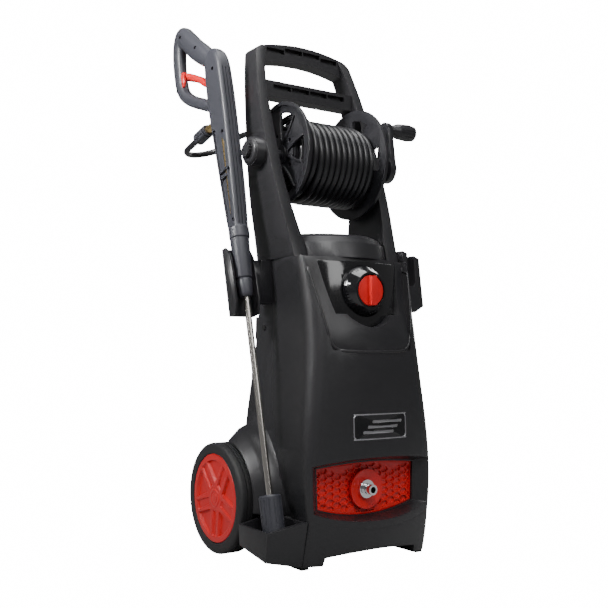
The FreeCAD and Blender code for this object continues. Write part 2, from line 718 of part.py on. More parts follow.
def reel_flange(outer_x, radius, side):
    """Flange with a rolled rim and five windows, each in a raised wall. side is -1 at the left."""
    inner_x = outer_x - side * FLANGE_THICK
    low_x, high_x = outer_x - 15, outer_x + 15
    plate = rod((outer_x - side * 3, REEL_Y, REEL_Z), (inner_x, REEL_Y, REEL_Z), radius)
    rim = tube((outer_x, REEL_Y, REEL_Z), (inner_x, REEL_Y, REEL_Z), radius, radius - 7)
    hub = rod((outer_x, REEL_Y, REEL_Z), (inner_x, REEL_Y, REEL_Z), 20.0)
    disc = rod((outer_x, REEL_Y, REEL_Z), (inner_x, REEL_Y, REEL_Z), radius - 18)
    opening = tube((low_x, REEL_Y, REEL_Z), (high_x, REEL_Y, REEL_Z), radius - 21, 42.0)
    walls = []
    tools = [rod((low_x, REEL_Y, REEL_Z), (high_x, REEL_Y, REEL_Z), REEL_SHAFT_RADIUS)]
    for k in range(5):
        degrees = 36 + 72 * k
        inside = flange_sector(WINDOW_INNER, degrees, low_x)
        walls.append(flange_sector(WINDOW_OUTER, degrees, low_x).cut(inside).common(disc))
        tools.append(inside.common(opening))
        turn = math.radians(degrees + 36)
        y, z = REEL_Y + 39 * math.cos(turn), REEL_Z + 39 * math.sin(turn)
        tools.append(rod((low_x, y, z), (high_x, y, z), 3.6))
    return cut(fuse([plate, rim, hub] + walls), tools)


def reel_drum():
    low, high = REEL_LEFT_X + FLANGE_THICK, REEL_RIGHT_X - FLANGE_THICK
    core = tube((low, REEL_Y, REEL_Z), (high, REEL_Y, REEL_Z), DRUM_RADIUS, DRUM_RADIUS - 4)
    webs = [rod((x, REEL_Y, REEL_Z), (x + 4, REEL_Y, REEL_Z), DRUM_RADIUS - 2) for x in (low, high - 4)]
    shaft = rod((-149.5, REEL_Y, REEL_Z), (CRANK_X + CRANK_THICK, REEL_Y, REEL_Z), REEL_SHAFT_RADIUS)
    return fuse([core, shaft] + webs)


def hose_coil():
    """Two layers of hose. The outer one hangs loose, but is tight where the hose leaves it."""
    low, high = REEL_LEFT_X + FLANGE_THICK, REEL_RIGHT_X - FLANGE_THICK
    middle = REEL_Z - COIL_DROP
    loose = rod((COIL_TIGHT_X, REEL_Y, middle), (high, REEL_Y, middle), COIL_RADIUS)
    tight = rod((low, REEL_Y, REEL_Z), (COIL_TIGHT_X, REEL_Y, REEL_Z), COIL_RADIUS)
    return loose.fuse(tight).cut(rod((low, REEL_Y, REEL_Z), (high, REEL_Y, REEL_Z), DRUM_RADIUS))


def crank_arm():
    """Flat arm on the end of the reel's shaft, with the pin that the knob turns on."""
    far = CRANK_X + CRANK_THICK
    top = REEL_Z + CRANK_THROW
    hub = rod((CRANK_X, REEL_Y, REEL_Z), (far, REEL_Y, REEL_Z), 27.0)
    end = rod((CRANK_X + 2, REEL_Y, top), (far, REEL_Y, top), 14.0)
    points = [(CRANK_X + 2, REEL_Y - 25, REEL_Z + 8), (CRANK_X + 2, REEL_Y + 25, REEL_Z + 8),
              (CRANK_X + 2, REEL_Y + 13.8, top + 2), (CRANK_X + 2, REEL_Y - 13.8, top + 2)]
    bar = prism(points, (CRANK_THICK - 2, 0, 0))
    pin = rod((far, REEL_Y, top), (KNOB_END_X - 6, REEL_Y, top), 5.0)
    bore = rod((CRANK_X - 5, REEL_Y, REEL_Z), (far + 5, REEL_Y, REEL_Z), REEL_SHAFT_RADIUS)
    return fuse([hub, end, bar, pin]).cut(bore)


def crank_knob():
    """Fluted knob, thickest near its free end."""
    start = CRANK_X + CRANK_THICK + 1.0
    top = REEL_Z + CRANK_THROW
    profile = [(0, 9), (6, 10), (22, 15.5), (48, 17.5), (62, 15.5)]
    pieces = []
    for (a, radius_a), (b, radius_b) in zip(profile, profile[1:]):
        pieces.append(taper((start + a, REEL_Y, top), (start + b, REEL_Y, top), radius_a, radius_b))
    pieces.append(taper((start + 62, REEL_Y, top), (KNOB_END_X, REEL_Y, top), 15.5, 11.0))
    body = fuse(pieces)
    flutes = []
    for k in range(10):
        turn = math.radians(36 * k)
        y, z = REEL_Y + 19.5 * math.cos(turn), top + 19.5 * math.sin(turn)
        flutes.append(rod((start + 8, y, z), (start + 64, y, z), 3.6))
    bore = rod((start - 2, REEL_Y, top), (KNOB_END_X - 5, REEL_Y, top), 5.0 + RUN_GAP)
    return cut(body, flutes + [bore])


# Gun outline along the lance (s) and square to it (t)
GUN_OUTLINE = [(466, -18), (466, 14), (500, 18), (560, 20), (640, 29), (700, 33), (738, 40), (752, 60),
               (790, 120), (817, 158), (834, 172), (854, 178), (880, 179), (898, 176), (945, 158),
               (966, 146), (970, 132), (962, 108), (950, 94), (932, 80), (900, 55), (872, 28), (850, 5),
               (840, -14), (826, -22), (812, -24), (700, -21), (560, -18)]
GUN_WINDOW = [(771, 50), (768, 66), (797, 110), (823, 126), (856, 120), (889, 108), (899, 100),
              (884, 84), (860, 62), (833, 40), (800, 38)]
TRIGGER_PIVOT = (800.0, 22.0)


def gun_body():
    body = lance_prism(GUN_OUTLINE, LANCE_X - GUN_HALF, LANCE_X + GUN_HALF)
    window = lance_prism(GUN_WINDOW, LANCE_X - 30, LANCE_X + 30)
    slot = lance_prism([(812, 100), (842, 162), (892, 162), (892, 100)], LANCE_X - 30, LANCE_X + 30)
    slit = lance_prism([(782, 5), (782, 60), (860, 60), (836, 5)], LANCE_X - 6.5, LANCE_X + 6.5)
    cavity = lance_rod(474, 770, 12.0)
    socket = lance_rod(460, 480, 15.0)
    port = rod(lance_point(LANCE_X, 710, 0), lance_point(LANCE_X, 710, 80), 8.0)
    s, t = TRIGGER_PIVOT
    pin = rod(lance_point(LANCE_X - 11, s, t), lance_point(LANCE_X + 11, s, t), 3.0)
    return cut(body, [window, slot, slit, cavity, socket, port, pin])


def gun_left_shell():
    return gun_body().common(box((-300, -300, 0), (LANCE_X, 600, 1200)))


def gun_right_shell():
    return gun_body().common(box((LANCE_X, -300, 0), (0, 600, 1200)))


def gun_screws():
    screws = []
    for s, t in ((948, 128), (916, 84), (838, 12), (708, 14), (620, 8), (520, 10)):
        start, end = lance_point(LANCE_X - GUN_HALF, s, t), lance_point(LANCE_X - GUN_HALF - 0.8, s, t)
        screws.append(rod(start, end, 3.2))
    return Part.makeCompound(screws)


def trigger():
    """Bar across the finger gap, with a thick end that rides in the guard."""
    s, t = TRIGGER_PIVOT
    end_s, end_t = 854.0, 146.0
    outline = [(s - 9, t - 8), (s - 9, t + 18), (s + 3, t + 60), (end_s - 9, end_t - 3),
               (end_s + 9, end_t - 5), (s + 32, t + 70), (s + 22, t + 40), (s + 9, t - 6)]
    bar = lance_prism(outline, LANCE_X - 6, LANCE_X + 6)
    knob = rod(lance_point(LANCE_X - 17, end_s, end_t), lance_point(LANCE_X + 17, end_s, end_t), 10.0)
    pad = lance_prism([(s + 3, t + 34), (s + 8, t + 60), (end_s - 14, end_t - 22), (end_s, end_t - 22),
                       (s + 26, t + 60), (s + 20, t + 34)], LANCE_X - 10, LANCE_X + 10)
    bore = rod(lance_point(LANCE_X - 20, s, t), lance_point(LANCE_X + 20, s, t), 3.0 + RUN_GAP)
    return fuse([bar, knob, pad]).cut(bore)


def trigger_pin():
    s, t = TRIGGER_PIVOT
    return rod(lance_point(LANCE_X - 11, s, t), lance_point(LANCE_X + 11, s, t), 3.0)


def gun_valve():
    """Brass valve inside the gun, from the hose port down to the lance socket."""
    body = lance_rod(481, 770, 11.5)
    port = rod(lance_point(LANCE_X, 710, 0), lance_point(LANCE_X, 710, 66), 7.5)
    return body.fuse(port)


def hose_nut():
    """Ribbed nut that joins the hose to the gun."""
    ring = rod(lance_point(LANCE_X, 710, 66), lance_point(LANCE_X, 710, 72), 11.0)
    body = rod(lance_point(LANCE_X, 710, 72), lance_point(LANCE_X, 710, 108), 13.0)
    flutes = []
    for k in range(12):
        turn = math.radians(30 * k)
        x, s = LANCE_X + 14 * math.cos(turn), 710 + 14 * math.sin(turn)
        flutes.append(rod(lance_point(x, s, 76), lance_point(x, s, 104), 2.0))
    port = rod(lance_point(LANCE_X, 710, 60), lance_point(LANCE_X, 710, 66), 5.0)
    return cut(ring.fuse(body), flutes + [port])


def lance_sleeve():
    """Bayonet sleeve under the gun: collar, long cone and a rolled lower end."""
    collar = lance_rod(430, 466, 19.0)
    spigot = lance_rod(466, 479.5, 14.8)
    cone = lance_rod(350, 430, 12.5, 18.5)
    bore = lance_rod(330, 470, LANCE_RADIUS)
    return fuse([collar, spigot, cone]).cut(bore)


def lance_ferrule():
    return lance_rod(312, 349.8, 9.5, 11.2).cut(lance_rod(300, 360, LANCE_RADIUS))


def lance_tube():
    return lance_rod(-20, 468, LANCE_RADIUS).cut(lance_rod(-30, 470, LANCE_RADIUS - 1.5))


def nozzle_tip():
    """Fixed nozzle body that the protective cap turns on."""
    body = lance_rod(-50, -20.2, 8.0)
    return body.fuse(lance_rod(-56, -50, 8.0, 3.0)).cut(lance_rod(-60, -20, 1.0))


def nozzle_cap():
    """Cap with fine grooves that turns to change the spray."""
    cap = lance_rod(-66, 0, 19.5).fuse(lance_rod(0, 3, 19.5, 17.0))
    ribs = []
    for k in range(14):
        turn = math.radians(360 / 14 * k)
        x, shift = 19.6 * math.cos(turn), 19.6 * math.sin(turn)
        low = lance_point(LANCE_X + x, -46, shift)
        high = lance_point(LANCE_X + x, -4, shift)
        ribs.append(rod(low, high, 1.1))
    bore = lance_rod(-80, 10, 8.0 + RUN_GAP)
    mouth = lance_rod(-80, -56.5, 15.0)
    return cut(cap, ribs + [bore, mouth])


def hose_tail():
    """Free stretch of hose: straight runs joined by tangent arcs, swept with a circle."""
    points = [vec(*p) for p in TAIL]
    runs = [(b - a).Length for a, b in zip(points, points[1:])]
    edges, radii, last = [], [], points[0]
    for k in range(1, len(points) - 1):
        before = (points[k - 1] - points[k]).normalize()
        after = (points[k + 1] - points[k]).normalize()
        turn = math.pi - before.getAngle(after)
        trim = 0.45 * min(runs[k - 1], runs[k])
        radius = trim / math.tan(turn / 2)
        radii.append(radius)
        start = points[k] + before * trim
        end = points[k] + after * trim
        inward = (before + after).normalize()
        middle = points[k] + inward * (math.hypot(radius, trim) - radius)
        edges += [Part.LineSegment(last, start), Part.Arc(start, middle, end)]
        last = end
    edges.append(Part.LineSegment(last, points[-1]))
    path = joined_wire(edges)
    direction = points[1] - points[0]
    profile = Part.Wire([Part.Circle(points[0], direction, HOSE_RADIUS).toShape()])
    hose = path.makePipeShell([profile], True, True)
    print("hose runs", [round(r) for r in runs])
    print("hose arc radii", [round(r) for r in radii])
    print("hose length", round(path.Length, 1), "volume ratio",
          round(hose.Volume / (math.pi * HOSE_RADIUS ** 2 * path.Length), 4))
    return hose


def all_parts():
    parts = {
        "base_tray": base_tray(), "lance_pocket": lance_pocket(), "front_cover": front_cover(),
        "rear_cover": rear_cover(), "top_cover": top_cover(), "control_panel": control_panel(),
        "switch_bezel": switch_bezel(), "rotary_switch": rotary_switch(), "inlet_grille": inlet_grille(),
        "inlet_dish": inlet_dish(), "inlet_coupling": inlet_coupling(), "left_upright": left_upright(),
        "right_upright": right_upright(),
        "top_handle": handle_bar(100, 921, 955, 13, 197, 229, 3),
        "cross_bar": handle_bar(112, 850, 882, 0, 172, 202, 3),
        "swivel_nut": swivel_nut(), "lance_clip": lance_clip(), "cable_hook": cable_hook(),
        "cable_gland": cable_gland(), "wheel_axle": wheel_axle(), "axle_clips": axle_clips(),
        "front_feet": front_feet(), "motor_housing": motor_housing(), "pump_block": pump_block(),
        "pistons": pistons(), "rubber_mounts": rubber_mounts(), "capacitor": capacitor(),
        "pressure_switch": pressure_switch(), "pump_pipes": pump_pipes(), "casing_screws": casing_screws(),
        "hose_tail": hose_tail(), "power_knob": power_knob(), "motor_shaft": motor_shaft(),
        "cooling_fan": cooling_fan(), "wobble_plate": wobble_plate(), "reel_drum": reel_drum(),
        "left_flange": reel_flange(REEL_LEFT_X, LEFT_FLANGE_RADIUS, -1),
        "right_flange": reel_flange(REEL_RIGHT_X, RIGHT_FLANGE_RADIUS, 1),
        "hose_coil": hose_coil(), "crank_arm": crank_arm(), "crank_knob": crank_knob(),
        "gun_left_shell": gun_left_shell(), "gun_right_shell": gun_right_shell(),
        "gun_screws": gun_screws(), "trigger": trigger(), "trigger_pin": trigger_pin(),
        "gun_valve": gun_valve(), "hose_nut": hose_nut(), "lance_sleeve": lance_sleeve(),
        "lance_ferrule": lance_ferrule(), "lance_tube": lance_tube(), "nozzle_tip": nozzle_tip(),
        "nozzle_cap": nozzle_cap()}
    for name, side in (("left", -1), ("right", 1)):
        parts[name + "_tyre"] = tyre(side)
        parts[name + "_rim"] = wheel_rim(side)
        parts[name + "_wheel_cover"] = wheel_cover(side)
    return parts


CORD_NODES = ("hose_coil", "hose_tail")


def frame_shift(parts):
    """Move that puts the origin under the middle of the object, its free hose left out."""
    whole = FreeCAD.BoundBox()
    for name, shape in parts.items():
        if name not in CORD_NODES:
            for point in shape.tessellate(0.3)[0]:
                whole.add(point)
    return vec(-whole.Center.x, -whole.Center.y, -whole.ZMin)


os.makedirs("parts", exist_ok=True)
PARTS = all_parts()
SHIFT = frame_shift(PARTS)
print("origin shift", [round(c, 3) for c in SHIFT])
for name, shape in PARTS.items():
    moved = shape.copy()
    moved.translate(SHIFT)
    moved.exportStep("parts/" + name + ".step")
print(len(PARTS), "nodes")
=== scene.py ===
import json
import math

import bmesh
import bpy
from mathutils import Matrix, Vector
from mathutils.bvhtree import BVHTree
from mathutils.geometry import convex_hull_2d


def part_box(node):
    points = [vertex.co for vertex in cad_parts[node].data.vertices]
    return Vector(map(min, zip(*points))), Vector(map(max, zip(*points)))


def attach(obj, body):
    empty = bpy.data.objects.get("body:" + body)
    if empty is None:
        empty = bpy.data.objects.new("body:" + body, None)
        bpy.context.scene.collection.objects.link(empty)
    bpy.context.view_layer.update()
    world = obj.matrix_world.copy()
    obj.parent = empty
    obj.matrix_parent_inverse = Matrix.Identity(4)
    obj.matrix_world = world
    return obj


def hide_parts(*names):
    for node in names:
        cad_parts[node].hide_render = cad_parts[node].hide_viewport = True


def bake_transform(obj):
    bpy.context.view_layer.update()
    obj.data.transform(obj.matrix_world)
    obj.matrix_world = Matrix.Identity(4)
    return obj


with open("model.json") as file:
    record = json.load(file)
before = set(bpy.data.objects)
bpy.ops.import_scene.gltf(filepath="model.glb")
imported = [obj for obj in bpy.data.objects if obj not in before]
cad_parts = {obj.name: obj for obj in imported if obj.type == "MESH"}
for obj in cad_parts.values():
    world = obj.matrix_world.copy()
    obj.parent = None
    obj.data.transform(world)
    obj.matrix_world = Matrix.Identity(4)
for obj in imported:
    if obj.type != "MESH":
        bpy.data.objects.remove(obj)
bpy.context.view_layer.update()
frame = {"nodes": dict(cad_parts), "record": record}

# The drawing frame of the machine: millimetres, x = 0 in its centre plane, y = 0 just in
# front of the feet, z = 0 on the floor. The wheels and the front cover say where it lies.
WHEEL_Y, WHEEL_Z = 198.0, 100.0
REEL_Y, REEL_Z = 150.0, 734.0
INLET_Z = 126
WHEEL_LOW, WHEEL_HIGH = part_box("left_tyre")
COVER_LOW, COVER_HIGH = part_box("front_cover")
SHIFT = Vector(((COVER_LOW[0] + COVER_HIGH[0]) / 2, (WHEEL_LOW[1] + WHEEL_HIGH[1]) / 2 - WHEEL_Y / 1000, 0))
ACROSS = Vector((1, 0, 0))
REARWARD = Vector((0, 1, 0))
UPWARD = Vector((0, 0, 1))


def at(x, y, z):
    """A place in the drawing frame, as metres in the model's frame."""
    return Vector((x, y, z)) / 1000 + SHIFT


def camera():
    """Eye level low in front of the left corner, looking slightly up."""
    data = bpy.data.cameras.new("camera")
    data.lens = 53.44
    data.sensor_width = 36
    eye = bpy.data.objects.new("camera", data)
    eye.location = at(-979.6, -1269.0, 366.0)
    eye.rotation_euler = (math.radians(90 + 3.013), 0, math.radians(-33.848))
    bpy.context.collection.objects.link(eye)
    bpy.context.scene.camera = eye


camera()


# ---------------------------------------------------------------- materials

COAT_ROUGHNESS = 0.08
GRAIN_DEPTH = 0.0002


def principled(material):
    """The shader that every new material starts with."""
    return material.node_tree.nodes["Principled BSDF"]


def new_material(name, colour, roughness, metallic=0.0, coat=0.0):
    material = bpy.data.materials.new(name)
    material.use_nodes = True
    shader = principled(material)
    shader.inputs["Base Color"].default_value = (*colour, 1)
    shader.inputs["Roughness"].default_value = roughness
    shader.inputs["Metallic"].default_value = metallic
    shader.inputs["Coat Weight"].default_value = coat
    shader.inputs["Coat Roughness"].default_value = COAT_ROUGHNESS
    return material


def node(material, kind, **values):
    made = material.node_tree.nodes.new(kind)
    for name, value in values.items():
        if name in made.inputs:
            made.inputs[name].default_value = value
        else:
            setattr(made, name, value)
    return made


def link(material, source, target):
    material.node_tree.links.new(source, target)


def noise(material, scale, detail, stretch=None):
    place = node(material, "ShaderNodeTexCoord")
    texture = node(material, "ShaderNodeTexNoise", Scale=scale, Detail=detail)
    if stretch:
        mapping = node(material, "ShaderNodeMapping", Scale=stretch)
        link(material, place.outputs["Object"], mapping.inputs["Vector"])
        link(material, mapping.outputs["Vector"], texture.inputs["Vector"])
    else:
        link(material, place.outputs["Object"], texture.inputs["Vector"])
    return texture.outputs["Fac"]


def ranged(material, value, low, high):
    ramp = node(material, "ShaderNodeMapRange")
    ramp.inputs["To Min"].default_value = low
    ramp.inputs["To Max"].default_value = high
    link(material, value, ramp.inputs["Value"])
    return ramp.outputs["Result"]


def vary_colour(material, value, dark, light):
    mix = node(material, "ShaderNodeMix", data_type="RGBA")
    mix.inputs["A"].default_value = (*dark, 1)
    mix.inputs["B"].default_value = (*light, 1)
    link(material, value, mix.inputs["Factor"])
    link(material, mix.outputs["Result"], principled(material).inputs["Base Color"])


def vary_roughness(material, value, low, high):
    link(material, ranged(material, value, low, high), principled(material).inputs["Roughness"])


def add_bump(material, height, strength):
    bump = node(material, "ShaderNodeBump", Strength=strength, Distance=GRAIN_DEPTH)
    link(material, height, bump.inputs["Height"])
    link(material, bump.outputs["Normal"], principled(material).inputs["Normal"])


def plastic(name, colour, roughness, grain, grain_scale=1400, spread=0.15, coat=0.0):
    """Moulded plastic: spark-eroded grain, slight cloudiness and uneven sheen."""
    material = new_material(name, colour, roughness, coat=coat)
    clouds = noise(material, scale=9.0, detail=5.0)
    vary_colour(material, clouds, [c * (1 - spread) for c in colour], [c * (1 + spread) for c in colour])
    sheen = noise(material, scale=38.0, detail=6.0)
    vary_roughness(material, sheen, roughness - 0.05, roughness + 0.06)
    if grain:
        add_bump(material, noise(material, scale=grain_scale, detail=3.0), grain)
    return material


def brushed(name, colour, roughness, stretch):
    """Metal with fine polishing marks, drawn out where the stretch is uneven."""
    material = new_material(name, colour, roughness, metallic=1.0)
    streaks = noise(material, scale=60.0, detail=8.0, stretch=stretch)
    vary_colour(material, streaks, [c * 0.86 for c in colour], colour)
    vary_roughness(material, streaks, roughness - 0.06, roughness + 0.1)
    add_bump(material, streaks, 0.08)
    return material


PLASTICS = {
    "casing_plastic": dict(colour=(0.0155, 0.0152, 0.0172), roughness=0.37, grain=0.22),
    "gun_plastic": dict(colour=(0.036, 0.037, 0.046), roughness=0.42, grain=0.15),
    "reel_plastic": dict(colour=(0.014, 0.014, 0.0165), roughness=0.34, grain=0.12),
    "red_plastic": dict(colour=(0.62, 0.011, 0.011), roughness=0.34, grain=0.06, spread=0.05),
    "panel_gloss": dict(colour=(0.006, 0.006, 0.007), roughness=0.09, grain=0.0, coat=0.6),
    "tyre_rubber": dict(colour=(0.014, 0.014, 0.015), roughness=0.55, grain=0.35, grain_scale=900),
    "hose_rubber": dict(colour=(0.012, 0.012, 0.0135), roughness=0.33, grain=0.08),
    "foot_rubber": dict(colour=(0.02, 0.02, 0.02), roughness=0.7, grain=0.3),
    "screw_black": dict(colour=(0.006, 0.006, 0.006), roughness=0.4, grain=0.1),
}
METALS = {
    "stainless": dict(colour=(0.66, 0.63, 0.59), roughness=0.2, stretch=(40, 40, 1.2)),
    "chrome": dict(colour=(0.82, 0.82, 0.84), roughness=0.09, stretch=(4, 4, 4)),
    "brass": dict(colour=(0.78, 0.56, 0.24), roughness=0.26, stretch=(6, 6, 6)),
    "steel": dict(colour=(0.5, 0.5, 0.52), roughness=0.3, stretch=(1, 30, 30)),
    "motor_alloy": dict(colour=(0.52, 0.52, 0.53), roughness=0.4, stretch=(8, 8, 8)),
}
BY_SLOT = {slot: plastic(slot, **looks) for slot, looks in PLASTICS.items()}
BY_SLOT.update({slot: brushed(slot, **looks) for slot, looks in METALS.items()})
SLOT_OF = {part["node"]: part["material_slot"] for part in frame["record"]["subparts"]}
BODY_OF = {name: body for body, names in frame["record"]["behaviour"]["bodies"].items() for name in names}


# ---------------------------------------------------------------- mesh helpers

# How near two corners of a CAD mesh lie, in metres, when they are really one
CAD_WELD = 2e-6
REFINED = ("base_tray", "lance_pocket", "front_cover", "rear_cover", "top_cover", "control_panel",
           "switch_bezel", "power_knob", "left_upright", "right_upright",
           "cable_hook", "crank_arm", "left_flange", "right_flange")


def add_object(name, mesh):
    made = bpy.data.objects.new(name, mesh)
    bpy.context.collection.objects.link(made)
    return made


def object_from(name, bm):
    mesh = bpy.data.meshes.new(name)
    bmesh.ops.recalc_face_normals(bm, faces=bm.faces)
    bm.to_mesh(mesh)
    bm.free()
    return add_object(name, mesh)


def apply_all(piece):
    """Turn a piece's modifiers into its mesh."""
    graph = bpy.context.evaluated_depsgraph_get()
    mesh = bpy.data.meshes.new_from_object(piece.evaluated_get(graph))
    piece.modifiers.clear()
    piece.data = mesh


def bevelled(piece, width_mm, segments, angle):
    bevel = piece.modifiers.new("edge", "BEVEL")
    bevel.width = width_mm / 1000
    bevel.segments = segments
    bevel.limit_method = "ANGLE"
    bevel.angle_limit = math.radians(angle)
    bevel.harden_normals = False
    apply_all(piece)
    return piece


def smooth(piece, angle=35):
    piece.data.shade_smooth()
    piece.data.set_sharp_from_angle(angle=math.radians(angle))
    return piece


def dress(piece, body, slot, nodes=()):
    """Give a finished piece its slot's material, its body and the CAD nodes it stands for."""
    piece.data.materials.clear()
    piece.data.materials.append(BY_SLOT[slot])
    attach(piece, body)
    if nodes:
        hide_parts(*nodes)
    return piece


def refined(name, width_mm=1.0):
    """The CAD node's own shape with its hard edges rounded as a mould leaves them."""
    bm = bmesh.new()
    bm.from_mesh(frame["nodes"][name].data)
    bmesh.ops.remove_doubles(bm, verts=bm.verts, dist=CAD_WELD)
    bmesh.ops.dissolve_limit(bm, angle_limit=math.radians(0.3), verts=bm.verts, edges=bm.edges)
    piece = object_from(name + "_shell", bm)
    bevelled(piece, width_mm, 3, 38)
    smooth(piece, 45)
    return dress(piece, BODY_OF[name], SLOT_OF[name], [name])


def dress_cad_nodes():
    """Give every CAD node its slot's material, for those that stay as they are."""
    for name, piece in frame["nodes"].items():
        piece.data.materials.clear()
        piece.data.materials.append(BY_SLOT[SLOT_OF[name]])


dress_cad_nodes()
for name in REFINED:
    refined(name)


# ---------------------------------------------------------------- shape helpers

def ring(centre, side, across, half_side, half_across, power=2.0, count=40):
    """Closed loop of places: an ellipse at power 2, squarer as the power grows."""
    places = []
    for k in range(count):
        turn = 2 * math.pi * k / count
        c, s = math.cos(turn), math.sin(turn)
        a = math.copysign(abs(c) ** (2 / power), c) * half_side / 1000
        b = math.copysign(abs(s) ** (2 / power), s) * half_across / 1000
        places.append(centre + side * a + across * b)
    return places


def skin(name, rings, capped=True):
    """Surface over loops with equal numbers of places."""
    bm = bmesh.new()
    loops = [[bm.verts.new(place) for place in places] for places in rings]
    for low, high in zip(loops, loops[1:]):
        for k in range(len(low)):
            after = (k + 1) % len(low)
            bm.faces.new((low[k], low[after], high[after], high[k]))
    if capped:
        bm.faces.new(loops[0])
        bm.faces.new(loops[-1])
    return object_from(name, bm)


def filled_in(rows, steps):
    """Rows of numbers with more between them, along a smooth line through them all."""
    rows_out = []
    last = len(rows) - 1
    for k in range(last):
        before, here, after, beyond = rows[max(k - 1, 0)], rows[k], rows[k + 1], rows[min(k + 2, last)]
        for step in range(steps):
            u = step / steps
            row = []
            for a, b, c, d in zip(before, here, after, beyond):
                squared = 2 * a - 5 * b + 4 * c - d
                cubed = 3 * (b - c) + d - a
                row.append(b + 0.5 * u * (c - a + u * (squared + u * cubed)))
            rows_out.append(row)
    rows_out.append(list(rows[last]))
    return rows_out


def joined(name, pieces):
    """One piece made of several, still separate surfaces."""
    bm = bmesh.new()
    for piece in pieces:
        bm.from_mesh(piece.data)
        bpy.data.objects.remove(piece)
    return object_from(name, bm)


def carved(piece, cutters):
    """Cut closed solids out of a piece."""
    for cutter in cutters:
        change = piece.modifiers.new("cut", "BOOLEAN")
        change.operation = "DIFFERENCE"
        change.solver = "EXACT"
        change.object = cutter
    apply_all(piece)
    for cutter in cutters:
        bpy.data.objects.remove(cutter)
    return piece


def merged(piece, voxel_mm, rounds):
    """Melt overlapping solids into one with soft joins."""
    remesh = piece.modifiers.new("melt", "REMESH")
    remesh.mode = "VOXEL"
    remesh.voxel_size = voxel_mm / 1000
    soften = piece.modifiers.new("soften", "SMOOTH")
    soften.factor = 0.5
    soften.iterations = rounds
    apply_all(piece)
    return piece


# ---------------------------------------------------------------- spray gun

# Up the lance and square to it. Lengths s below run up the lance from its base, t behind it.
ALONG = Vector((0, 0.2306, 0.973))
BACK = Vector((0, 0.973, -0.2306))
LANCE_X, LANCE_Y, LANCE_Z = -168.0, 45, 120


def by_lance(s, t, x=LANCE_X):
    """A place s along the lance from its base, t behind it."""
    return at(x, LANCE_Y, LANCE_Z) + ALONG * (s / 1000) + BACK * (t / 1000)


# Along the lance, front, back, half width, squareness
BARREL = [(466, -16, 15, 13.5, 4), (500, -18, 19, 14.5, 6), (560, -21, 23, 15, 8), (640, -23, 30, 15.3, 8),
          (700, -24, 35, 15.3, 8), (745, -24, 38, 15.3, 8), (790, -23, 38, 15, 7), (815, -21, 38, 14.5, 6),
          (834, -15, 38, 13.5, 5), (846, -6, 36, 12, 4), (852, 2, 33, 10, 3), (855, 10, 28, 5, 2.6)]
# Along the lance, behind it, half thickness in the gun's plane, half width
HANDLE = [(836, 24, 16, 13), (861, 48, 20, 14.6), (890, 77, 21, 15), (922, 104, 21, 15),
          (942, 121, 20.5, 14.2), (945, 134, 19.5, 13), (931, 146, 18.5, 12), (905, 153.5, 17.5, 11.5),
          (875, 155.5, 17, 11), (848, 154, 16, 11), (826, 146, 14, 10.5), (806, 128, 12.5, 10),
          (787, 103, 12, 10), (769, 75, 12, 10), (752, 50, 11, 10), (738, 28, 10, 10)]
TRIGGER = [(786, 24, 6, 6), (801, 52, 6.6, 7.5), (818, 70, 7, 8.5), (838, 98, 7, 9.5), (852, 119, 7.5, 9.5)]
# The pad on the trigger's far end: s, t, half width, half height
TRIGGER_PAD = [(859, 121, 3, 6.5), (848, 122, 4, 7.5), (836, 123, 4, 7), (829, 124, 2.5, 4)]
TRIGGER_PAD_X = -180.5
# Ring at the barrel's lower end: s, radius
COLLAR = [(462, 17), (463, 19), (483, 19), (484, 17)]
# Edges of the long recess in the gun's flank: along the lance, behind it
RECESS_BACK = [(508, 12.3), (540, 15.7), (586, 18.6), (634, 24), (687, 27.5)]
RECESS_FRONT = [(508, -4), (531, -6), (575, -7.4), (620, -8.7), (652, -10), (664, -2), (676, 9), (687, 22)]
# The recess is split by two ribs. Lowest and highest s of its three parts
RECESS_PARTS = [(508, 583.5), (587.5, 596.5), (600.5, 687)]
RECESS_STEPS = 12
RECESS_FLOOR_X = -178.9
BEYOND_FLANK_X = -190
# Three narrow grooves down the barrel's front: s, t
GROOVE = [(486, -35), (486, -15.4), (560, -19.4), (640, -21.4), (700, -22.4), (800, -21), (800, -35)]
GROOVES_X = (-174.5, -168, -161.5)
GROOVE_HALF = 0.8
# Places of the gun's screws: s, t. Their wells and heads: radius, and both ends across the gun
SCREWS = [(937, 116), (883, 60), (806, 2), (671, -9), (594, -14), (497, -9), (838, 158)]
SCREW_WELL = (3.8, -18, -9.5)
SCREW_HEAD = (3.7, -11, -8.5)
# What is cut off the lance's clip: s, t
CLIP_FRONT = [(475, -80), (475, 20), (450, 14), (441, 5), (428, -2), (405, -6), (345, -6), (331, -1),
              (318, 7), (305, 9), (305, -80)]
CLIP_X = (-200, -135)
# The sleeve under the gun and, below a fine gap, a narrower ferrule: s, radius
SLEEVE = [(479, 12), (478, 14), (466.5, 14.2), (466, 17.2), (463, 17.8), (458, 17.6), (392, 15.8),
          (388.5, 15.2), (387, 13.4), (386, 13.0), (385, 14.0), (383, 14.4), (360, 12.6), (355, 11.6),
          (353, 9.5), (353, 5.9)]
# Swivel boss, from the leg outwards and back along its bore: x, radius
SWIVEL_BOSS = [(-110, 29), (-114, 29.5), (-118, 28.6), (-122, 27.4), (-127, 26.6), (-134, 26), (-146, 25.4),
               (-149.5, 24.6), (-151.4, 22.6), (-152, 19.5), (-152, 13.8), (-110, 13.8), (-110, 29)]


def level(rows, s):
    """How far behind the lance an edge lies at s."""
    for (s_low, low), (s_high, high) in zip(rows, rows[1:]):
        if s <= s_high:
            return low + (high - low) * (s - s_low) / (s_high - s_low)
    return rows[-1][1]


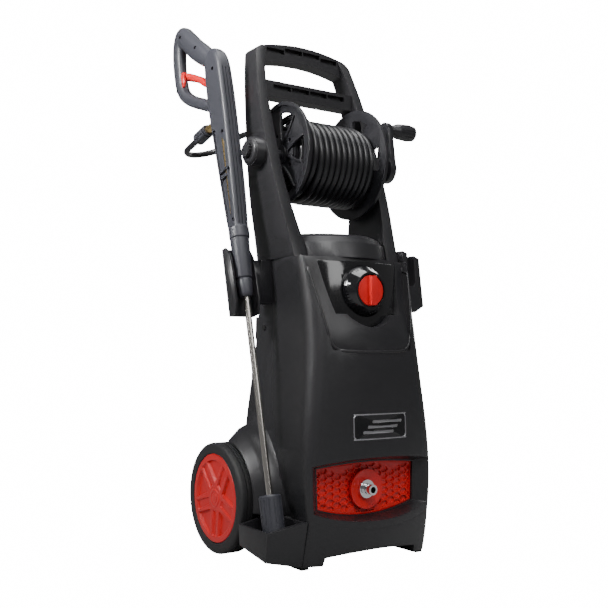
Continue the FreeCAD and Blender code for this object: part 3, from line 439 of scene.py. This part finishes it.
def swept(name, rows, steps, power):
    """Bar along a bent line in the gun's plane."""
    rows = filled_in(rows, steps)
    rings = []
    for k, (s, t, half_plane, half_x) in enumerate(rows):
        before, after = rows[max(k - 1, 0)], rows[min(k + 1, len(rows) - 1)]
        ahead = (ALONG * (after[0] - before[0]) + BACK * (after[1] - before[1])).normalized()
        rings.append(ring(by_lance(s, t), ACROSS, ACROSS.cross(ahead), half_x, half_plane, power))
    return skin(name, rings)


def lance_slab(outline, x_low, x_high):
    """Flat cutter in the gun's plane."""
    return skin("cutter", [[by_lance(s, t, x) for s, t in outline] for x in (x_low, x_high)])


def disc(place, axis, radius_mm, low_mm, high_mm, count=28):
    """Short rod along an axis through a place."""
    side = axis.orthogonal().normalized()
    rings = [ring(place + axis * (h / 1000), side, axis.cross(side), radius_mm, radius_mm, count=count)
             for h in (low_mm, high_mm)]
    return skin("disc", rings)


def gun_body():
    """Barrel, handle and collar in one, before anything is cut out of it."""
    rings = []
    for s, front, rear, half_x, power in filled_in(BARREL, 4):
        rings.append(ring(by_lance(s, (front + rear) / 2), ACROSS, BACK, half_x, (rear - front) / 2, power))
    collar = skin("collar", [ring(by_lance(s, -1), ACROSS, BACK, radius, radius) for s, radius in COLLAR])
    piece = joined("gun_body", [skin("barrel", rings), swept("handle", HANDLE, 4, 2.6), collar])
    return merged(piece, 1.1, 5)


def gun_cutters():
    """The recess in the flank, the grooves down the front and the wells of the screws."""
    cutters = []
    for low, high in RECESS_PARTS:
        steps = [low + (high - low) * k / RECESS_STEPS for k in range(RECESS_STEPS + 1)]
        front_edge = [(s, level(RECESS_FRONT, s)) for s in steps]
        back_edge = [(s, level(RECESS_BACK, s)) for s in steps[::-1]]
        cutters.append(lance_slab(front_edge + back_edge, BEYOND_FLANK_X, RECESS_FLOOR_X))
    for x in GROOVES_X:
        cutters.append(lance_slab(GROOVE, x - GROOVE_HALF, x + GROOVE_HALF))
    for s, t in SCREWS:
        cutters.append(disc(by_lance(s, t), ACROSS, *SCREW_WELL))
    return cutters


def gun():
    piece = carved(gun_body(), gun_cutters())
    smooth(piece, 50)
    dress(piece, "gun", "gun_plastic", ["gun_left_shell", "gun_right_shell"])
    heads = joined("gun_screw_heads", [disc(by_lance(s, t), ACROSS, *SCREW_HEAD) for s, t in SCREWS])
    dress(smooth(heads), "gun", "screw_black", ["gun_screws"])


def trigger():
    bar = swept("bar", TRIGGER, 5, 2.6)
    knob = disc(by_lance(852, 121), ACROSS, 8, -15.5, 15)
    pad = skin("pad", [ring(by_lance(s, t, TRIGGER_PAD_X), ACROSS, BACK, half_x, half_plane)
                       for s, t, half_x, half_plane in TRIGGER_PAD])
    piece = merged(joined("trigger_bar", [bar, knob, pad]), 0.8, 6)
    dress(smooth(piece, 60), BODY_OF["trigger"], "red_plastic", ["trigger"])


def clip():
    """The channel that holds the lance, its walls rounded off towards the front."""
    piece = refined("lance_clip", 0.8)
    carved(piece, [lance_slab(CLIP_FRONT, *CLIP_X)])
    bevelled(piece, 1.0, 3, 40)
    smooth(piece, 50)


def sleeve():
    """Sleeve that the lance's tube is held in, and its ferrule."""
    rings = [ring(by_lance(s, 0), ACROSS, BACK, radius, radius, count=56) for s, radius in SLEEVE]
    piece = skin("sleeve", rings)
    dress(smooth(piece, 40), "gun", SLOT_OF["lance_sleeve"], ["lance_sleeve", "lance_ferrule"])


def swivel_boss():
    """Round housing of the reel's swivel, a little wider where it meets the leg."""
    rings = [ring(at(x, REEL_Y, REEL_Z), REARWARD, UPWARD, radius, radius, count=72)
             for x, radius in SWIVEL_BOSS]
    piece = skin("swivel_boss", rings, capped=False)
    dress(smooth(piece, 50), "root", "casing_plastic")


gun()
trigger()
clip()
sleeve()
swivel_boss()


# ---------------------------------------------------------------- wheels

COVER_X = 193.0
COVER_RADIUS = 79.7
COVER_THICKNESS = 11.0
COVER_RINGS = 92
COVER_PLACES = 300
# The cover's face closes to a pinhole of this radius at its centre
PINHOLE = 0.01
WINDOW_LINES = [math.radians(90 + 72 * k) for k in range(5)]
TYRE_X = 193.5
TYRE_PLACES = 160
TREAD_GROOVES = (11.5, 18.2, 24.9)
# The tyre's section on both sides of the tread: depth behind its outer face, radius
OUTER_WALL = [(13.0, 80.3), (1.6, 80.3), (0.3, 81.6), (0.0, 84), (0.3, 94), (1.2, 97.2), (3.2, 99.2),
              (6.0, 99.9)]
INNER_WALL = [(34.0, 99.9), (36.8, 99.2), (38.8, 97.2), (39.7, 94), (40.0, 84), (39.7, 81.6), (38.4, 80.3)]


def eased(value, low, high):
    """0 up to low, 1 from high on, and a soft step between."""
    u = min(max((value - low) / (high - low), 0.0), 1.0)
    return u * u * (3 - 2 * u)


def cover_depth(radius, turn):
    """How far the wheel cover's face lies behind its outermost plane.

    Every pair of radii in eased says where one feature fades into the next, in millimetres.
    """
    nearest = min(abs((turn - line + math.pi) % (2 * math.pi) - math.pi) for line in WINDOW_LINES)
    from_window = radius * math.sin(nearest)
    from_spoke = radius * abs(math.sin(math.radians(36) - nearest))
    inside_rim = 1 - eased(radius, 67.2, 68.8)
    window = eased(3 + 0.66 * (radius - 30) - from_window, 0, 1.6)
    window *= eased(radius, 27, 31) * inside_rim
    groove = 1 - eased(from_spoke, 3.6 + 0.06 * radius, 5.2 + 0.06 * radius)
    groove *= eased(radius, 22, 26) * inside_rim
    hub = 1 - eased(radius, 15, 17)
    hub_ring = 1 - eased(abs(radius - 10), 0.5, 1.3)
    depth = 0.4 + 1.4 * (1 - hub) * (1 - eased(radius, 17, 60)) + 5.2 * window + 3.2 * groove
    depth += 1.0 * hub_ring
    return depth + 1.6 * eased(radius, 78.4, COVER_RADIUS)


def around_axle(radius, x_values):
    """Loop of evenly spread places round the wheels' axle, one for each x."""
    places = []
    for k, x in enumerate(x_values):
        turn = 2 * math.pi * k / len(x_values)
        places.append(at(x, WHEEL_Y + radius * math.cos(turn), WHEEL_Z + radius * math.sin(turn)))
    return places


def wheel_cover(side, name):
    """Red cover with five windows and spokes."""
    face = side * COVER_X
    turns = [2 * math.pi * k / COVER_PLACES for k in range(COVER_PLACES)]
    rings = []
    for j in range(COVER_RINGS + 1):
        radius = PINHOLE + (COVER_RADIUS - PINHOLE) * j / COVER_RINGS
        rings.append(around_axle(radius, [face - side * cover_depth(radius, turn) for turn in turns]))
    for radius in (COVER_RADIUS, PINHOLE):
        rings.append(around_axle(radius, [face - side * COVER_THICKNESS] * COVER_PLACES))
    piece = smooth(skin(name + "_disc", rings), 50)
    dress(piece, BODY_OF[name + "_wheel_cover"], "red_plastic", [name + "_wheel_cover"])


def welded(piece):
    """Join places of a piece that coincide."""
    bm = bmesh.new()
    bm.from_mesh(piece.data)
    bmesh.ops.remove_doubles(bm, verts=bm.verts, dist=1e-6)
    bmesh.ops.recalc_face_normals(bm, faces=bm.faces)
    bm.to_mesh(piece.data)
    bm.free()
    return piece


def tyre(side, name):
    """Tyre with three grooves round its tread."""
    profile = list(OUTER_WALL)
    for groove in TREAD_GROOVES:
        profile += [(groove, 99.9), (groove + 0.7, 97.6), (groove + 2.9, 97.6), (groove + 3.6, 99.9)]
    profile += INNER_WALL
    rings = []
    for depth, radius in profile + profile[:1]:
        rings.append(around_axle(radius, [side * TYRE_X - side * depth] * TYRE_PLACES))
    piece = welded(skin(name + "_tyre_ring", rings, capped=False))
    dress(smooth(piece, 40), BODY_OF[name + "_wheel_cover"], "tyre_rubber", [name + "_tyre"])


for side, name in ((-1, "left"), (1, "right")):
    wheel_cover(side, name)
    tyre(side, name)


# ---------------------------------------------------------------- inlet grille

# Honeycomb cells: distance between columns and rows, half widths at the middle and at the
# top, half height and depth
CELL_STEP_X, CELL_STEP_Z = 14.8, 12.2
CELL_HALF, CELL_TOP_HALF, CELL_HALF_HIGH = 8.4, 4.4, 4.9
CELL_DEPTH = 3.4
# Nothing is sunk nearer than this to the inlet's middle, where the opening is cut
CELL_FREE_RADIUS = 27
OPENING_RADIUS = 20


def clipped(polygon, border):
    """The part of a polygon inside a convex border that runs anticlockwise."""
    for (ax, az), (bx, bz) in zip(border, border[1:] + border[:1]):
        kept = []
        sides = [(bx - ax) * (z - az) - (bz - az) * (x - ax) for x, z in polygon]
        for k, (x, z) in enumerate(polygon):
            px, pz = polygon[k - 1]
            before, here = sides[k - 1], sides[k]
            if before * here < 0:
                share = before / (before - here)
                kept.append((px + share * (x - px), pz + share * (z - pz)))
            if here >= 0:
                kept.append((x, z))
        polygon = kept
        if len(polygon) < 3:
            return []
    return polygon


def grille_border():
    """The plate's outline seen from the front, anticlockwise: x, z."""
    source = frame["nodes"]["inlet_grille"]
    corners = [source.matrix_world @ vertex.co for vertex in source.data.vertices]
    flat = [((corner - SHIFT).x * 1000, corner.z * 1000) for corner in corners]
    border = [flat[k] for k in convex_hull_2d(flat)]
    area = sum(a[0] * b[1] - b[0] * a[1] for a, b in zip(border, border[1:] + border[:1]))
    if area < 0:
        border.reverse()
    return border


def cell(x, z, front, inner):
    """Cutter of the cell around (x, z), tapered inwards, or None where no room is left for it."""
    levels = (front - 1, front + CELL_DEPTH)
    rings = []
    for grow in (0.3, -0.5):
        a, b, h = CELL_HALF + grow, CELL_TOP_HALF + grow * 0.6, CELL_HALF_HIGH + grow
        points = [(a, 0), (b, h), (-b, h), (-a, 0), (-b, -h), (b, -h)]
        rings.append(clipped([(x + px, z + pz) for px, pz in points], inner))
    if len(rings[0]) > 2 and len(rings[0]) == len(rings[1]):
        return skin("cell", [[at(px, y, pz) for px, pz in polygon] for polygon, y in zip(rings, levels)])
    return None


def grille():
    """Red plate with sunk cells, wider than they are high, right up to its plain border."""
    border = grille_border()
    low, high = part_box("inlet_grille")
    front, back = (low[1] - SHIFT.y) * 1000, (high[1] - SHIFT.y) * 1000
    plate = skin("grille_plate", [[at(x, y, z) for x, z in border] for y in (front, back)])
    middle = (min(z for x, z in border) + max(z for x, z in border)) / 2
    inner = [(x * 0.972, middle + (z - middle) * 0.925) for x, z in border]
    cells = []
    for column in range(-7, 8):
        for row in range(-5, 6):
            x, z = column * CELL_STEP_X, INLET_Z + (row + (column % 2) / 2) * CELL_STEP_Z
            if math.hypot(x, z - INLET_Z) >= CELL_FREE_RADIUS:
                cells.append(cell(x, z, front, inner))
    cells = [made for made in cells if made]
    opening = disc(at(0, 0, INLET_Z), REARWARD, OPENING_RADIUS, front - 5, back + 5, 48)
    carved(plate, [joined("cells", cells), opening])
    bevelled(plate, 0.35, 2, 40)
    dress(smooth(plate, 40), "root", "red_plastic", ["inlet_grille"])


grille()


# ---------------------------------------------------------------- hose

# The hose's thickness in metres, and half of it in millimetres
HOSE = 0.012
HOSE_RADIUS = 6
TURN_PLACES = 16
# A smooth line with that many control points a turn runs inside them by this factor
LINE_FACTOR = 0.981
LAYER_TURNS = 12
COIL_LEFT, COIL_RIGHT = -72, 80
INNER_RADIUS, INNER_PITCH = 52.6, 12.66
OUTER_RISE, OUTER_PITCH, OUTER_SAG = 21.4, 12.9, 9.0
# How much further out the last half turn runs, its radius at the end and how far it moves right
LEAVE_RISE, LEAVE_RADIUS, LEAVE_SHIFT = 15.4, 89.4, 10
# Where the loose end of the hose runs, from the coil round the back to the gun
TAIL = [(-62, 239.2, 736), (-62, 240.5, 760), (-64, 249, 782), (-70, 267, 798), (-77, 292, 804),
        (-82, 332, 798), (-86, 369, 786), (-109, 396, 778), (-144, 398, 771), (-168.5, 374, 771),
        (-168.9, 343, 778.6), (-168, 314.8, 785.8)]


def spline(name, places):
    """Smooth open line with these control points."""
    curve = bpy.data.curves.new(name, "CURVE")
    curve.dimensions = "3D"
    curve.resolution_u = 6
    line = curve.splines.new("NURBS")
    line.points.add(len(places) - 1)
    for point, place in zip(line.points, places):
        point.co = (*place, 1)
    line.order_u = 3
    line.use_endpoint_u = True
    return add_object(name, curve)


def places_on(line):
    """Places along a line's curve, and its length."""
    mesh = bpy.data.meshes.new_from_object(line)
    places = [line.matrix_world @ vertex.co for vertex in mesh.vertices]
    return places, sum((b - a).length for a, b in zip(places, places[1:]))


def coil_rows():
    """Turns so far, radius, x and sag of each control point: a layer close on the drum, then a loose one."""
    rows = []
    for k in range(LAYER_TURNS * TURN_PLACES):
        turns = k / TURN_PLACES
        rows.append((turns, INNER_RADIUS, COIL_LEFT + INNER_PITCH * turns, 0.0))
    for k in range(LAYER_TURNS * TURN_PLACES + 1):
        turns = k / TURN_PLACES
        climb = eased(turns, 0, 0.5)
        x = max(COIL_RIGHT - OUTER_PITCH * max(turns - 0.25, 0), COIL_LEFT)
        tight = eased(-x, 38, 58)
        leave = eased(turns, LAYER_TURNS - 0.5, LAYER_TURNS)
        radius = INNER_RADIUS + OUTER_RISE * climb + LEAVE_RISE * leave
        x += LEAVE_SHIFT * eased(turns, LAYER_TURNS - 0.3, LAYER_TURNS)
        rows.append((LAYER_TURNS + turns, radius, x, OUTER_SAG * climb * (1 - tight)))
    return rows


def coil_places():
    """Control points of the wound hose. It ends where the loose end starts."""
    route = []
    for turns, radius, x, sag in coil_rows():
        turn = 2 * math.pi * turns + math.asin(2 / LEAVE_RADIUS)
        radius /= LINE_FACTOR
        route.append(at(x, REEL_Y + radius * math.cos(turn), REEL_Z - sag + radius * math.sin(turn)))
    route[-1] = at(*TAIL[0])
    return route


def wound_hose():
    route = coil_places()
    coil = spline("hose_turns", route)
    length = places_on(coil)[1]
    coil.data.bevel_depth = HOSE / 2
    coil.data.bevel_resolution = 5
    coil.data.use_fill_caps = True
    dress(coil, BODY_OF["hose_coil"], "hose_rubber", ["hose_coil"])


def loose_hose():
    line = spline("hose_route", [at(*place) for place in TAIL])
    line.data.resolution_u = 14
    places, length = places_on(line)
    bpy.data.objects.remove(line)
    rings = []
    side = ACROSS
    for k, place in enumerate(places):
        ahead = (places[min(k + 1, len(places) - 1)] - places[max(k - 1, 0)]).normalized()
        side = (side - ahead * side.dot(ahead)).normalized()
        rings.append(ring(place, side, ahead.cross(side), HOSE_RADIUS, HOSE_RADIUS, count=20))
    tail = smooth(skin("hose_loose_end", rings), 60)
    tail.data.materials.append(BY_SLOT["hose_rubber"])
    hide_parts("hose_tail")
    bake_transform(tail)


wound_hose()
loose_hose()


# ---------------------------------------------------------------- marks on the front

# Left half of the rib below the panel: x, z
RIB_LEFT = [(-113, 522), (-110, 500), (-100, 440), (-91, 396), (-86, 380), (-76, 370), (-60, 367)]
FRONT_RIB = RIB_LEFT + [(0, 365)] + [(-x, z) for x, z in RIB_LEFT[::-1]]
# The plaque's slanted bars: lower edge, left end
PLAQUE_BARS = [(225, -34), (234, -24), (243, -14)]
BAR_LENGTH, BAR_WIDTH = 66, 5


def surface_of(name):
    source = frame["nodes"][name]
    corners = [source.matrix_world @ vertex.co for vertex in source.data.vertices]
    return BVHTree.FromPolygons(corners, [list(face.vertices) for face in source.data.polygons])


FRONT = surface_of("front_cover")


def on_front(x, z, lift_mm=0.0):
    """The place on the front cover behind (x, z), raised off it."""
    place, normal, _, _ = FRONT.ray_cast(at(x, -300, z), REARWARD)
    if normal.y > 0:
        normal = -normal
    return place + normal * (lift_mm / 1000)


def rounded(x_low, z_low, x_high, z_high, corner, lean=0.0):
    """Outline of a rounded box. lean slants it."""
    outline = []
    for cx, cz, start in ((x_high - corner, z_high - corner, 0), (x_low + corner, z_high - corner, 90),
                          (x_low + corner, z_low + corner, 180), (x_high - corner, z_low + corner, 270)):
        for k in range(7):
            turn = math.radians(start + 15 * k)
            z = cz + corner * math.sin(turn)
            outline.append((cx + corner * math.cos(turn) + lean * (z - z_low), z))
    return outline


def patch(name, outline, lift_mm, slot):
    """Thin plate that lies on the front cover."""
    middle_x = sum(x for x, z in outline) / len(outline)
    middle_z = sum(z for x, z in outline) / len(outline)
    rings = []
    for share, lift in ((1, -0.6), (1, lift_mm), (0.66, lift_mm), (0.33, lift_mm), (0.01, lift_mm)):
        rings.append([on_front(middle_x + (x - middle_x) * share, middle_z + (z - middle_z) * share, lift)
                      for x, z in outline])
    return dress(smooth(skin(name, rings), 40), "root", slot)


def raised_line(name, outline, half_mm, lift_mm, slot):
    """Low rounded rib along a line on the front cover."""
    rows = filled_in(outline, 6)
    rings = []
    for k, (x, z) in enumerate(rows):
        before, after = rows[max(k - 1, 0)], rows[min(k + 1, len(rows) - 1)]
        ahead = (on_front(*after) - on_front(*before)).normalized()
        out = (on_front(x, z, 1) - on_front(x, z)).normalized()
        rings.append(ring(on_front(x, z), ahead.cross(out), out, half_mm, lift_mm, count=12))
    return dress(smooth(skin(name, rings), 60), "root", slot)


def marks():
    """The rib below the panel, and a plain plaque with a frame and slanted bars."""
    raised_line("front_rib", FRONT_RIB, 2.6, 1.7, "casing_plastic")
    patch("plaque", rounded(-49, 218, 61, 256, 6), 0.5, "panel_gloss")
    edge = rounded(-51, 216, 63, 258, 7)
    raised_line("plaque_frame", edge + edge[:1], 1.3, 1.0, "steel")
    for low, left in PLAQUE_BARS:
        patch("plaque_bar", rounded(left, low, left + BAR_LENGTH, low + BAR_WIDTH, 2, 0.35), 0.8, "steel")


marks()


# ---------------------------------------------------------------- stage

# How bright the backdrop is to the camera, and how bright to what the object mirrors
WHITE = 16.0
MIRRORED = 0.16
# Name, place, what it is aimed at, size, power and spread in degrees
LIGHTS = [("key", (-1.3, -2.4, 2.9), (0, 0, 0.7), (1.4, 1.4), 70, 180),
          ("side", (-2.2, 0.1, 1.9), (0, 0.05, 0.95), (0.5, 1.0), 8, 36),
          ("edge", (-2.4, 1.2, 1.8), (0, 0, 0.7), (0.5, 2.0), 8, 180),
          ("front", (0.6, -3.0, 2.2), (0, 0, 0.7), (0.8, 1.6), 18, 180),
          ("rim", (2.2, 1.2, 1.6), (0, 0, 0.6), (0.6, 2.2), 26, 180),
          ("top", (0, -0.3, 3.2), (0, 0, 0.6), (2.0, 1.6), 66, 180)]


def floor():
    """Paper that the camera sees as pure white, but that lights the object like grey paper."""
    bm = bmesh.new()
    bmesh.ops.create_grid(bm, x_segments=2, y_segments=2, size=6.0)
    piece = object_from("floor", bm)
    material = new_material("floor_paper", (0.35, 0.35, 0.35), 0.7)
    glow = node(material, "ShaderNodeEmission", Strength=WHITE)
    path = node(material, "ShaderNodeLightPath")
    mix = node(material, "ShaderNodeMixShader")
    link(material, path.outputs["Is Camera Ray"], mix.inputs[0])
    link(material, principled(material).outputs[0], mix.inputs[1])
    link(material, glow.outputs[0], mix.inputs[2])
    surface = material.node_tree.nodes["Material Output"].inputs["Surface"]
    link(material, mix.outputs[0], surface)
    piece.data.materials.append(material)


def area_light(name, place, target, size, power, spread):
    data = bpy.data.lights.new(name, "AREA")
    data.shape = "RECTANGLE"
    data.size, data.size_y = size
    data.energy = power
    data.spread = math.radians(spread)
    lamp = bpy.data.objects.new(name, data)
    lamp.location = place
    lamp.rotation_euler = (Vector(target) - Vector(place)).to_track_quat("-Z", "Y").to_euler()
    bpy.context.collection.objects.link(lamp)


def studio():
    """White backdrop for the camera, a much dimmer one for what the object mirrors."""
    world = bpy.data.worlds.new("studio")
    bpy.context.scene.world = world
    world.use_nodes = True
    tree = world.node_tree
    back = tree.nodes["Background"]
    back.inputs["Color"].default_value = (1, 1, 1, 1)
    path = tree.nodes.new("ShaderNodeLightPath")
    brightness = tree.nodes.new("ShaderNodeMapRange")
    brightness.inputs["To Min"].default_value = MIRRORED
    brightness.inputs["To Max"].default_value = WHITE
    tree.links.new(path.outputs["Is Camera Ray"], brightness.inputs["Value"])
    tree.links.new(brightness.outputs["Result"], back.inputs["Strength"])
    for light in LIGHTS:
        area_light(*light)


floor()
studio()
